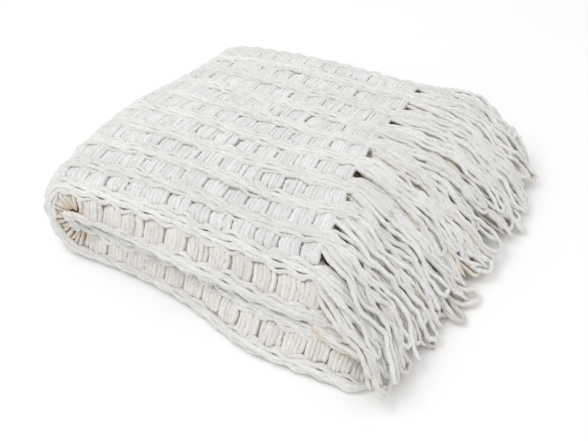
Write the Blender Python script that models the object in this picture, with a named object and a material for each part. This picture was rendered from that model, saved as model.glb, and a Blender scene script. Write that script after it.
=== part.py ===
"""A chunky chenille throw, folded for a shelf, with its fringed end draped over the side.

The cloth is one solid: a single back-and-forth section of eight layers. Its outer layer
goes from the fringed edge over the top, round the left end and back under the pile, and
its front and back borders are rolled in towards the crease at mid height. The fringe of
each end of the cloth is a narrow strip with its strands.
Lengths are in metres. X runs along the folded length, Y from front to back, Z up.
"""

import math

import bpy
import numpy as np

# Driving sizes.
ROW_PITCH = 0.0435            # one smooth chain row and one row of rib blocks
ROWS_ON_TOP = 8               # pitches from the first rib row to the ninth
OUTER_THICKNESS = 0.0085      # the outer layer of the cloth
SHEET_GAP = 0.0008            # between the cloth's edge and a fringe strip
FIRST_ROW_Y = 0.0750          # the first rib row on top, in the pile's own frame
CHAIN_RISE = 0.0034           # how far a chain row stands proud
BLOCK_RISE = 0.0016           # the middle of a rib block
BLOCK_EDGE = -0.0018          # a rib block where it meets the chain row
GAP_DEPTH = -0.0036           # the notch between two rib blocks
GAP_EDGE = -0.0032            # the notch where it meets the chain row
CORNER_DRAW = 0.0150          # how far the bottom layer's right corners are drawn in
CORNER_FROM_X = 0.1700
TURN_RADIUS = 0.0480          # the left turn, measured along X
FOLD_X = 0.2000               # where the bottom layer folds back at the right end
SLUMP = 0.10                  # how far the inner layers sink at their right ends
SLUMP_FROM_X = 0.0850
SLUMP_LENGTH = 0.1100

# The edges of the top, by depth: the fringed edge and the left end.
EDGES = (
    # y, fringed edge x, left end x
    (0.030, 0.128, -0.238),
    (0.053, 0.1185, -0.243),
    (0.075, 0.1135, -0.247),
    (0.100, 0.1117, -0.251),
    (0.130, 0.1092, -0.254),
    (0.190, 0.102, -0.254),
    (0.260, 0.097, -0.245),
    (0.340, 0.097, -0.228),
    (0.423, 0.103, -0.218),
    (0.460, 0.106, -0.211),
)

# The height of the top surface: one row for each depth, one column for each length.
TOP_X = (-0.200, -0.150, -0.085, 0.000, 0.045, 0.105)
TOP_HEIGHT = (
    # y, heights at TOP_X
    (0.075, (0.1080, 0.1100, 0.1140, 0.1070, 0.1020, 0.1020)),
    (0.119, (0.1090, 0.1120, 0.1140, 0.1050, 0.1050, 0.1090)),
    (0.162, (0.1090, 0.1140, 0.1120, 0.1060, 0.1070, 0.1130)),
    (0.249, (0.1080, 0.1110, 0.1095, 0.1070, 0.1090, 0.1130)),
    (0.336, (0.1000, 0.1020, 0.1040, 0.1030, 0.1020, 0.1010)),
    (0.423, (0.0890, 0.0970, 0.1020, 0.1030, 0.1015, 0.1010)),
)

# The crease between the upper and the lower half along the front.
CREASE = (
    # x, height
    (-0.190, 0.060),
    (-0.050, 0.054),
    (0.080, 0.044),
    (0.150, 0.040),
    (0.200, 0.025),
)

# The front and back borders of the outer layer. Each row is a place across the cloth in
# row pitches from the first rib row, with its depth and its share of the half's height
# (1 at the top or the floor, 0 at the crease) at three lengths.
BORDER_X = (-0.160, -0.050, 0.080)
FRONT_UPPER = (
    # pitches, depths, shares
    (0.00, (0.0750, 0.0750, 0.0750), (1.000, 1.000, 1.000)),
    (-0.25, (0.0670, 0.0675, 0.0685), (0.957, 0.936, 0.903)),
    (-0.50, (0.0595, 0.0595, 0.0610), (0.854, 0.826, 0.774)),
    (-0.75, (0.0525, 0.0525, 0.0535), (0.687, 0.684, 0.635)),
    (-1.00, (0.0475, 0.0465, 0.0463), (0.485, 0.530, 0.485)),
    (-1.25, (0.0440, 0.0405, 0.0392), (0.300, 0.378, 0.333)),
    (-1.50, (0.0455, 0.0355, 0.0330), (0.165, 0.214, 0.178)),
    (-1.75, (0.0540, 0.0365, 0.0330), (0.105, 0.060, 0.040)),
    (-2.00, (0.0640, 0.0460, 0.0420), (0.085, 0.030, 0.020)),
)
FRONT_LOWER = (
    # pitches, depths, shares
    (0.00, (0.0610, 0.0510, 0.0120), (1.000, 1.000, 1.000)),
    (-0.25, (0.0505, 0.0405, 0.0020), (0.975, 0.975, 0.955)),
    (-0.50, (0.0455, 0.0345, 0.0000), (0.810, 0.820, 0.750)),
    (-0.75, (0.0440, 0.0355, 0.0070), (0.620, 0.620, 0.555)),
    (-1.00, (0.0455, 0.0395, 0.0145), (0.440, 0.430, 0.375)),
    (-1.25, (0.0485, 0.0445, 0.0225), (0.290, 0.250, 0.205)),
    (-1.50, (0.0530, 0.0510, 0.0305), (0.160, 0.100, 0.080)),
    (-1.75, (0.0620, 0.0600, 0.0400), (0.100, 0.045, 0.045)),
    (-2.00, (0.0720, 0.0700, 0.0510), (0.080, 0.035, 0.035)),
)
BACK_UPPER = (
    # pitches past the ninth row, depth, share
    (0.00, 0.4230, 1.000),
    (0.25, 0.4340, 0.960),
    (0.50, 0.4440, 0.870),
    (0.75, 0.4520, 0.725),
    (1.00, 0.4560, 0.545),
    (1.25, 0.4570, 0.355),
    (1.50, 0.4545, 0.180),
    (1.75, 0.4470, 0.065),
    (2.00, 0.4370, 0.055),
)
BACK_LOWER = (
    # pitches past the ninth row, depth, share
    (0.00, 0.4350, 1.000),
    (0.25, 0.4455, 0.985),
    (0.50, 0.4545, 0.880),
    (0.75, 0.4600, 0.710),
    (1.00, 0.4620, 0.520),
    (1.25, 0.4600, 0.330),
    (1.50, 0.4555, 0.160),
    (1.75, 0.4475, 0.065),
    (2.00, 0.4375, 0.055),
)

# The inner layers in the order of the cloth, from the bottom fold to the second fringed
# edge: their faces as shares of the pile's height, and where each right end lies.
INNER_FRONT_Y = 0.1000
INNER_BACK_Y = 0.4120
INNER_LAYERS = (
    # name, lower face, upper face, right end x
    ("sixth", 0.115, 0.232, FOLD_X),
    ("first", 0.768, 0.880, 0.118),
    ("second", 0.640, 0.756, 0.118),
    ("fifth", 0.244, 0.365, 0.157),
    ("fourth", 0.377, 0.492, 0.157),
    ("third", 0.508, 0.628, 0.140),
)
INNER_STEPS_Y = 5              # points across each inner layer
RUN_STEPS = 6
TURN_STEPS = 7
FOLD_STEPS = 5

# The outer layer's samples.
BLOCKS_OVER_TOP = 11.5
BLOCKS_ROUND_TURN = 5.0
BLOCKS_UNDER = 14.5
SAMPLES_PER_BLOCK = 2
SAMPLES_PER_ROW = 4
BORDER_ROWS = 2.0
INNER_STRIDE = 3
FLAT_FROM_ROW = 2.0
FLAT_TO_ROW = 7.5

# The colours, linear.
CLOTH_COLOUR = (0.80, 0.77, 0.72, 1.0)
FRINGE_COLOUR = (0.82, 0.79, 0.74, 1.0)

# The fringe.
STRAND_WIDTH = 0.0030
STRAND_TIP_WIDTH = 0.0032
STRAND_STEPS = 4
STRIP_DEPTH = 0.0060
ROOT_PITCH = 0.0037
TIP_PITCH = 0.0050
FRINGES = (
    # name, first bunch row, bunches, strands side by side, layers, thickness
    ("upper_fringe", -0.5, 10, 8, 2, 0.0078),
    ("lower_fringe", 1.25, 7, 10, 1, 0.0060),
)
LOWER_LENGTH = 0.068          # the lower fringe, seen from the front
BUNCHES = (
    # bunch row, how far its tips lie towards the back, its length seen from the front
    (-0.5, -0.042, 0.120),
    (0.5, -0.034, 0.146),
    (1.5, -0.022, 0.167),
    (2.5, -0.013, 0.176),
    (3.5, -0.007, 0.180),
    (4.5, -0.002, 0.187),
    (5.5, 0.001, 0.196),
    (6.5, 0.003, 0.198),
    (7.5, 0.004, 0.196),
    (8.5, 0.004, 0.194),
)
DRAPE_X = (0.112, 0.140, 0.160, 0.180, 0.195, 0.208, 0.220, 0.232, 0.250, 0.270, 0.290)
DRAPE = (
    # name, heights of the hanging strands at DRAPE_X
    ("corner", (0.090, 0.082, 0.069, 0.057, 0.046, 0.031, 0.013, 0.005, 0.004, 0.004, 0.004)),
    ("front", (0.096, 0.091, 0.0785, 0.0640, 0.0520, 0.0390, 0.0240, 0.009, 0.004, 0.004, 0.004)),
    ("back", (0.100, 0.099, 0.0935, 0.0855, 0.0770, 0.0680, 0.0590, 0.049, 0.033, 0.015, 0.004)),
    ("lower", (0.061, 0.061, 0.0565, 0.0430, 0.0340, 0.0280, 0.0220, 0.016, 0.004, 0.004, 0.004)),
)
LAYER_STEP = 0.0039
LAYER_SPREAD = 0.0022
LOWEST_STRAND = 0.0022        # the centre of a strand that lies on the floor
ROOT_EASE = 0.060             # how far a strand takes to reach the drape's height
STRIP_DROP = 0.0003           # a strip's top face below the cloth's outer face
STRIP_ENDS = 0.6              # how far a strip goes past its bunches, in root pitches
PATH_STEPS = 60
LENGTH_SCATTER = 0.06         # of the strand's length
TIP_SCATTER = 0.0005
LIFT_SCATTER = 0.0012
FREE_FROM_ROOT = 0.050        # where a strand's own lift and sway are full
SWAY = 0.0025
SWAY_ALONG = 45.0             # radians for each metre
SWAY_ACROSS = 40.0
SPREAD_LENGTH = 0.040         # where the layers of strands are fully apart
SPREAD_POWER = 0.6            # below 1, a bunch opens out early


def smooth(t):
    """A soft step from 0 to 1."""
    t = np.clip(t, 0.0, 1.0)
    return t * t * (3.0 - 2.0 * t)


def curve_through(places, values, at):
    """A smooth curve through the table's values, flat beyond its ends."""
    places = np.asarray(places, float)
    values = np.asarray(values, float)
    slopes = np.gradient(values, places)
    slopes[0] = slopes[-1] = 0.0
    at = np.clip(np.asarray(at, float), places[0], places[-1])
    i = np.clip(np.searchsorted(places, at) - 1, 0, len(places) - 2)
    step = places[i + 1] - places[i]
    t = (at - places[i]) / step
    t2 = t * t
    t3 = t2 * t
    return (
        (2 * t3 - 3 * t2 + 1) * values[i]
        + (t3 - 2 * t2 + t) * step * slopes[i]
        + (3 * t2 - 2 * t3) * values[i + 1]
        + (t3 - t2) * step * slopes[i + 1]
    )


def fringed_edge_x(y):
    return curve_through([r[0] for r in EDGES], [r[1] for r in EDGES], y)


def turn_centre_x(y):
    return curve_through([r[0] for r in EDGES], [r[2] for r in EDGES], y) + TURN_RADIUS


def top_height(x, y):
    """The height of the pile's top at a place."""
    x, y = np.broadcast_arrays(np.asarray(x, float), np.asarray(y, float))
    columns = np.array([curve_through([r[0] for r in TOP_HEIGHT], [r[1][k] for r in TOP_HEIGHT], y)
                        for k in range(len(TOP_X))])
    total = np.zeros(x.shape)
    for k in range(len(TOP_X)):
        share = np.zeros(len(TOP_X))
        share[k] = 1.0
        total = total + curve_through(TOP_X, share, x) * columns[k]
    return total


def crease_height(x, row):
    """The height of the plane between the two halves; it is half the top inside."""
    front = curve_through([r[0] for r in CREASE], [r[1] for r in CREASE], x)
    inside = smooth((np.asarray(row, float) + 0.5) / 1.5)
    y = FIRST_ROW_Y + np.clip(row, 0.0, ROWS_ON_TOP) * ROW_PITCH
    return front + (0.5 * top_height(x, y) - front) * inside


def border(table, row, x):
    """Depth and share from a front table, blended along the length."""
    rows = [-r[0] for r in table]
    depths = [curve_through(rows, [r[1][k] for r in table], -row) for k in range(len(BORDER_X))]
    shares = [curve_through(rows, [r[2][k] for r in table], -row) for k in range(len(BORDER_X))]
    weights = [curve_through(BORDER_X, [float(j == k) for j in range(len(BORDER_X))], x)
               for k in range(len(BORDER_X))]
    depth = sum(w * d for w, d in zip(weights, depths))
    share = sum(w * s for w, s in zip(weights, shares))
    return depth, share


def section(row, x, upper):
    """Depth and share of height of the outer layer at a place across the cloth."""
    row, x = np.broadcast_arrays(np.asarray(row, float), np.asarray(x, float))
    front_depth, front_share = border(FRONT_UPPER if upper else FRONT_LOWER, np.minimum(row, 0.0), x)
    back = BACK_UPPER if upper else BACK_LOWER
    past = np.maximum(row - ROWS_ON_TOP, 0.0)
    back_depth = curve_through([r[0] for r in back], [r[1] for r in back], past)
    back_share = curve_through([r[0] for r in back], [r[2] for r in back], past)
    if not upper:
        drawn = CORNER_DRAW * smooth((x - CORNER_FROM_X) / (FOLD_X - CORNER_FROM_X)) ** 2
        front_depth = front_depth + drawn
        back_depth = back_depth - drawn
    across = np.clip(row / ROWS_ON_TOP, 0.0, 1.0)
    depth = front_depth + (back_depth - front_depth) * across
    depth = np.where(row < 0.0, front_depth, np.where(row > ROWS_ON_TOP, back_depth, depth))
    share = np.where(row < 0.0, front_share, back_share)
    return depth, share


def outer_point(station, row):
    """A place on the outer face. Station runs 0 to 1 over the top, 1 to 2 round the left
    turn and 2 to 3 under the pile; row is the place across the cloth in row pitches."""
    station, row = np.broadcast_arrays(np.asarray(station, float), np.asarray(row, float))
    angle = np.clip(station - 1.0, 0.0, 1.0) * math.pi
    near_y = FIRST_ROW_Y + np.clip(row, -1.0, ROWS_ON_TOP + 0.8) * ROW_PITCH
    centre = turn_centre_x(near_y)
    over = np.clip(station, 0.0, 1.0)
    under = np.clip(station - 2.0, 0.0, 1.0)
    x = np.where(station < 1.5,
                 fringed_edge_x(near_y) + (centre - fringed_edge_x(near_y)) * over,
                 centre + (FOLD_X - centre) * under)
    upper_y, upper_share = section(row, x, True)
    lower_y, lower_share = section(row, x, False)
    turn = 0.5 - 0.5 * np.cos(angle)
    y = upper_y + (lower_y - upper_y) * turn
    share = upper_share + (lower_share - upper_share) * turn
    middle = crease_height(x, row)
    top = top_height(x, near_y)
    reach = np.where(angle <= math.pi / 2, top - middle, middle)
    z = middle + share * reach * np.cos(angle)
    x = x - share * TURN_RADIUS * np.sin(angle)
    return np.stack([x, y, z], axis=-1)


def outer_normal(station, row):
    """The outward direction of the outer face, from nearby places on it."""
    small = 1e-3
    along = outer_point(station + small, row) - outer_point(station - small, row)
    across = outer_point(station, row + small * 4) - outer_point(station, row - small * 4)
    normal = np.cross(across, along)
    return normal / np.maximum(np.linalg.norm(normal, axis=-1, keepdims=True), 1e-12)


def relief(block, row, station):
    """How far the weave stands proud: chain rows, rib blocks and the notches between."""
    in_row = row - np.floor(row + 0.5)
    chain = smooth((np.abs(in_row) - 0.25) / 0.25)
    edge = smooth(np.abs(in_row) / 0.25)
    notch = np.abs(block - np.floor(block) - 0.5) * 2.0
    middle = BLOCK_RISE + (GAP_DEPTH - BLOCK_RISE) * notch
    beside = BLOCK_EDGE + (GAP_EDGE - BLOCK_EDGE) * notch
    rib = middle + (beside - middle) * edge
    height = rib + (CHAIN_RISE - rib) * chain
    from_crease = smooth((row + 1.75) / 0.5) * smooth((ROWS_ON_TOP + 1.75 - row) / 0.5)
    on_floor = smooth((station - 1.85) / 0.15) * smooth((row + 0.6) / 0.35)
    on_floor = on_floor * smooth((ROWS_ON_TOP + 0.6 - row) / 0.35)
    return height * from_crease * (1.0 - on_floor)


def stations():
    """The outer layer's stations, with the count of rib blocks at each."""
    counts = (BLOCKS_OVER_TOP, BLOCKS_ROUND_TURN, BLOCKS_UNDER)
    station = []
    block = []
    done = 0.0
    for part, blocks in enumerate(counts):
        steps = int(round(blocks * SAMPLES_PER_BLOCK))
        for k in range(steps):
            station.append(part + k / steps)
            block.append(done + k / SAMPLES_PER_BLOCK)
        done += steps / SAMPLES_PER_BLOCK
    station.append(3.0)
    block.append(done)
    return np.array(station), np.array(block)


class Skin:
    """Points and faces of one closed solid."""

    def __init__(self):
        self.points = []
        self.faces = []

    def add(self, points):
        points = np.asarray(points, float)
        first = sum(len(p) for p in self.points)
        self.points.append(points.reshape(-1, 3))
        return first + np.arange(points.size // 3).reshape(points.shape[:-1])

    def grid(self, ids, flip=False, skip=None):
        for i in range(ids.shape[0] - 1):
            for j in range(ids.shape[1] - 1):
                if skip is not None and skip(i, j):
                    continue
                face = (ids[i, j], ids[i + 1, j], ids[i + 1, j + 1], ids[i, j + 1])
                self.face(face, flip)

    def face(self, face, flip=False):
        face = [int(k) for k in face]
        self.faces.append(face if flip else face[::-1])

    def stitch(self, one, other, flip=False):
        """Fills the strip between two lines of points, however many each has."""
        self.stitch_by(one, other, np.linspace(0.0, 1.0, len(one)), np.linspace(0.0, 1.0, len(other)), flip)

    def stitch_by(self, one, other, one_at, other_at, flip=False):
        """The same, keeping points of like value side by side."""
        i = j = 0
        while i < len(one) - 1 or j < len(other) - 1:
            if j == len(other) - 1:
                step_one = True
            elif i == len(one) - 1:
                step_one = False
            else:
                step_one = one_at[i + 1] <= other_at[j + 1] + 1e-9
                if abs(one_at[i + 1] - other_at[j + 1]) < 1e-6:
                    self.face((one[i], one[i + 1], other[j + 1], other[j]), flip)
                    i += 1
                    j += 1
                    continue
            if step_one:
                self.face((one[i], one[i + 1], other[j]), flip)
                i += 1
            else:
                self.face((one[i], other[j + 1], other[j]), flip)
                j += 1

    def build(self, name, colour, shift):
        mesh = bpy.data.meshes.new(name)
        points = np.concatenate(self.points) + shift
        mesh.from_pydata(points.tolist(), [], self.faces)
        mesh.validate()
        mesh.update()
        thing = bpy.data.objects.new(name, mesh)
        bpy.context.scene.collection.objects.link(thing)
        material = bpy.data.materials.new(name + "_yarn")
        material.use_nodes = True
        shader = material.node_tree.nodes["Principled BSDF"]
        shader.inputs["Base Color"].default_value = colour
        shader.inputs["Roughness"].default_value = 0.9
        mesh.materials.append(material)
        return thing


def inner_place(x, y, share):
    """A place inside the pile at a share of its height."""
    slump = SLUMP * smooth((x - SLUMP_FROM_X) / SLUMP_LENGTH)
    return np.stack([x, y, share * top_height(x, y) * (1.0 - slump)], axis=-1)


def inner_path():
    """Stations of the inner layers: (kind, values) in the order of the cloth."""
    order = []
    layers = {r[0]: r for r in INNER_LAYERS}
    for k in range(1, FOLD_STEPS):
        order.append(("bottom fold", k / FOLD_STEPS))
    for k in range(RUN_STEPS):
        order.append(("run", ("sixth", 1.0 - k / RUN_STEPS, True)))
    for k in range(TURN_STEPS + 1):
        order.append(("turn", ("sixth", "first", k / TURN_STEPS)))
    for k in range(1, RUN_STEPS):
        order.append(("run", ("first", k / RUN_STEPS, False)))
    for k in range(FOLD_STEPS + 1):
        order.append(("fold", ("first", "second", k / FOLD_STEPS)))
    for k in range(1, RUN_STEPS):
        order.append(("run", ("second", 1.0 - k / RUN_STEPS, True)))
    for k in range(TURN_STEPS + 1):
        order.append(("turn", ("second", "fifth", k / TURN_STEPS)))
    for k in range(1, RUN_STEPS):
        order.append(("run", ("fifth", k / RUN_STEPS, False)))
    for k in range(FOLD_STEPS + 1):
        order.append(("fold", ("fifth", "fourth", k / FOLD_STEPS)))
    for k in range(1, RUN_STEPS):
        order.append(("run", ("fourth", 1.0 - k / RUN_STEPS, True)))
    for k in range(TURN_STEPS + 1):
        order.append(("turn", ("fourth", "third", k / TURN_STEPS)))
    for k in range(1, RUN_STEPS + 1):
        order.append(("run", ("third", k / RUN_STEPS, False)))
    return order, layers


def inner_pair(kind, values, y, layers):
    """The outer and the inner face of the cloth at one station of the inner layers.

    The outer face is the one that carries on from the pile's outside. It turns to the
    inside of a left turn on the sixth layer, so it is named here by its sense."""
    if kind == "bottom fold":
        angle = -math.pi / 2 + math.pi * values
        low = layers["sixth"][1]
        high = layers["sixth"][2]
        top = inner_place(np.full_like(y, FOLD_X), y, high)[:, 2]
        hollow_top = inner_place(np.full_like(y, FOLD_X), y, low)[:, 2]
        outer = np.stack([FOLD_X + 0.5 * top * math.cos(angle), y,
                          0.5 * top * (1.0 + math.sin(angle))], axis=-1)
        middle = 0.5 * (hollow_top + OUTER_THICKNESS)
        reach = 0.5 * (hollow_top - OUTER_THICKNESS)
        inner = np.stack([FOLD_X + reach * math.cos(angle), y,
                          middle + reach * math.sin(angle)], axis=-1)
        return outer, inner
    if kind == "run":
        name, along, leftward = values
        _, low, high, end = layers[name]
        centre = turn_centre_x(y)
        x = centre + (end - centre) * along
        lower = inner_place(x, y, low)
        upper = inner_place(x, y, high)
        return (upper, lower) if leftward else (lower, upper)
    if kind == "turn":
        first, last, t = values
        angle = math.pi * t
        centre = turn_centre_x(y)
        middle = 0.5 * top_height(centre, y)
        up = layers[last][1] > layers[first][1]
        start = layers[first]
        stop = layers[last]
        blend = 0.5 - 0.5 * math.cos(angle)

        def ring(from_share, to_share):
            share = abs(from_share - 0.5) * (1.0 - blend) + abs(to_share - 0.5) * blend
            turn = angle if not up else math.pi - angle
            x = centre - 2.0 * share * TURN_RADIUS * math.sin(angle)
            z = middle * (1.0 + 2.0 * share * math.cos(turn))
            return np.stack([x, y, z], axis=-1)

        if up:
            wide = ring(start[1], stop[2])
            tight = ring(start[2], stop[1])
            return tight, wide
        wide = ring(start[2], stop[1])
        tight = ring(start[1], stop[2])
        return wide, tight
    first, last, t = values
    start = layers[first]
    stop = layers[last]
    end = start[3]
    up = stop[1] > start[1]
    angle = math.pi * t
    x = np.full_like(y, end)
    outside = (min(start[1], stop[1]), max(start[2], stop[2]))
    inside = (min(start[2], stop[2]), max(start[1], stop[1]))
    sign = 1.0 if up else -1.0

    def bend(shares):
        low = inner_place(x, y, shares[0])[:, 2]
        high = inner_place(x, y, shares[1])[:, 2]
        reach = 0.5 * (high - low)
        return np.stack([x + reach * math.sin(angle), y,
                         0.5 * (high + low) - sign * reach * math.cos(angle)], axis=-1)

    return bend(outside), bend(inside)


def folded_cloth():
    skin = Skin()
    station, block = stations()
    rows = np.arange(-BORDER_ROWS, ROWS_ON_TOP + BORDER_ROWS + 1e-9, 1.0 / SAMPLES_PER_ROW)
    s, r = np.meshgrid(station, rows, indexing="ij")
    b = np.repeat(block[:, None], len(rows), axis=1)
    face = outer_point(s, r)
    normal = outer_normal(s, r)
    lifted = face + normal * relief(b, r, s)[..., None]
    lifted[..., 2] = np.maximum(lifted[..., 2], 0.0)
    outer = skin.add(lifted)

    flat_s = [i for i, v in enumerate(station) if v >= 2.0]
    flat_r = [j for j, v in enumerate(rows) if 0.25 <= v <= ROWS_ON_TOP - 0.25]
    s0, s1 = flat_s[1], flat_s[-1]
    r0, r1 = flat_r[0], flat_r[-1]
    skin.grid(outer, skip=lambda i, j: s0 <= i < s1 and r0 <= j < r1)
    rim = [outer[i, r0] for i in range(s0, s1)]
    rim += [outer[s1, j] for j in range(r0, r1)]
    rim += [outer[i, r1] for i in range(s1, s0, -1)]
    rim += [outer[s0, j] for j in range(r1, r0, -1)]
    skin.face(rim)

    coarse = sorted(set(list(range(0, len(station), INNER_STRIDE)) + [len(station) - 1]))
    turn_from = int(np.argmin(abs(station - 1.0)))
    turn_to = int(np.argmin(abs(station - 2.0)))
    coarse = sorted(set(coarse + list(range(turn_from, turn_to + 1, 1))))
    inner_rows = [v for v in rows if v <= 0.0 or v >= ROWS_ON_TOP or abs(v - round(v)) < 1e-9]
    inner_rows = sorted(set(inner_rows + [FLAT_FROM_ROW, FLAT_TO_ROW]))
    cs, cr = np.meshgrid(station[coarse], np.array(inner_rows), indexing="ij")
    backing = outer_point(cs, cr) - outer_normal(cs, cr) * OUTER_THICKNESS
    inner = skin.add(backing)
    skin.grid(inner, flip=True)

    order, layers = inner_path()
    pairs = []
    for kind, values in order:
        y = np.linspace(INNER_FRONT_Y, INNER_BACK_Y, INNER_STEPS_Y)
        pairs.append(inner_pair(kind, values, y, layers))
    deep_outer = skin.add(np.array([p[0] for p in pairs]))
    deep_inner = skin.add(np.array([p[1] for p in pairs]))
    skin.grid(deep_outer)
    skin.grid(deep_inner, flip=True)

    a = list(rows).index(FLAT_FROM_ROW)
    z = list(rows).index(FLAT_TO_ROW)
    ia = inner_rows.index(FLAT_FROM_ROW)
    iz = inner_rows.index(FLAT_TO_ROW)
    skin.stitch(list(outer[-1, a:z + 1]), list(deep_outer[0]), flip=True)
    skin.stitch(list(inner[-1, ia:iz + 1]), list(deep_inner[0]))
    in_rows = np.array(inner_rows)
    skin.stitch_by(list(outer[-1, :a + 1]), list(inner[-1, :ia + 1]), rows[:a + 1], in_rows[:ia + 1],
                   flip=True)
    skin.stitch_by(list(outer[-1, z:]), list(inner[-1, iz:]), rows[z:], in_rows[iz:], flip=True)
    skin.stitch_by(list(outer[0]), list(inner[0]), rows, in_rows)
    at = station
    cat = station[coarse]
    skin.stitch_by(list(outer[:, 0]), list(inner[:, 0]), at, cat, flip=True)
    skin.stitch_by(list(outer[:, -1]), list(inner[:, -1]), at, cat)
    front_outer = [outer[-1, a]] + list(deep_outer[:, 0])
    front_inner = [inner[-1, ia]] + list(deep_inner[:, 0])
    back_outer = [outer[-1, z]] + list(deep_outer[:, -1])
    back_inner = [inner[-1, iz]] + list(deep_inner[:, -1])
    skin.stitch(front_outer, front_inner, flip=True)
    skin.stitch(back_outer, back_inner)
    skin.stitch(list(deep_outer[-1]), list(deep_inner[-1]), flip=True)
    return skin


def chance(seed):
    """A fixed number from -1 to 1 for each seed."""
    value = math.sin(seed * 12.9898 + 4.1414) * 43758.5453
    return 2.0 * (value - math.floor(value)) - 1.0


def drape_height(name, bunch_row, x):
    """The height of the top strands of a fringe at a place along X."""
    tables = {r[0]: np.interp(x, DRAPE_X, r[1]) for r in DRAPE}
    if name == "lower_fringe":
        return tables["lower"]
    front = tables["corner"] + (tables["front"] - tables["corner"]) * smooth(bunch_row + 0.5)
    return front + (tables["back"] - front) * smooth((bunch_row - 0.5) / 6.5)


def strand_path(name, root, bunch_row, place, layer, seed):
    """Centre points of one strand, from its root to its tip."""
    drift = 0.0
    length = LOWER_LENGTH
    if name == "upper_fringe":
        drift = float(np.interp(bunch_row, [r[0] for r in BUNCHES], [r[1] for r in BUNCHES]))
        length = float(np.interp(bunch_row, [r[0] for r in BUNCHES], [r[2] for r in BUNCHES]))
    reach = length * (1.0 + LENGTH_SCATTER * chance(seed))
    middle = float(strip_place(name, bunch_row)[0].reshape(-1)[1])
    aim = middle + place * TIP_PITCH + drift + TIP_SCATTER * chance(seed + 0.25)
    x = root[0] + reach * np.linspace(0.0, 1.15, PATH_STEPS)
    away = x - root[0]
    lift = LIFT_SCATTER * chance(seed + 0.5) * smooth(away / FREE_FROM_ROOT)
    below = layer * (LAYER_STEP + LAYER_SPREAD * smooth(away / SPREAD_LENGTH))
    z = drape_height(name, bunch_row, x) - below + lift
    z = z + (root[2] - z[0]) * (1.0 - smooth(away / ROOT_EASE))
    lowest = LOWEST_STRAND
    if name == "upper_fringe" and layer == 0:
        lowest = LOWEST_STRAND + LAYER_STEP + 0.5 * LAYER_SPREAD
    z = np.maximum(z, lowest)
    sway = SWAY * np.sin(SWAY_ALONG * away + SWAY_ACROSS * root[1]) * smooth(away / FREE_FROM_ROOT)
    y = root[1] + (aim - root[1]) * np.clip(away / reach, 0.0, 1.0) ** SPREAD_POWER + sway
    points = np.stack([x, y, z], axis=-1)
    run = np.concatenate([[0.0], np.cumsum(np.hypot(np.diff(x), np.diff(z)))])
    at = np.linspace(0.0, reach, STRAND_STEPS + 1)
    return np.stack([np.interp(at, run, points[:, k]) for k in range(3)], axis=-1)


def strip_place(name, row):
    """The outer edge of the cloth where a strip is tied, and the way in."""
    if name == "upper_fringe":
        return outer_point(0.0, row), -outer_normal(0.0, row)
    layer = [r for r in INNER_LAYERS if r[0] == "third"][0]
    y = FIRST_ROW_Y + row * ROW_PITCH
    top = inner_place(np.array([layer[3]]), np.array([y]), layer[2])[0]
    return top, np.array([0.0, 0.0, -1.0])


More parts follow.
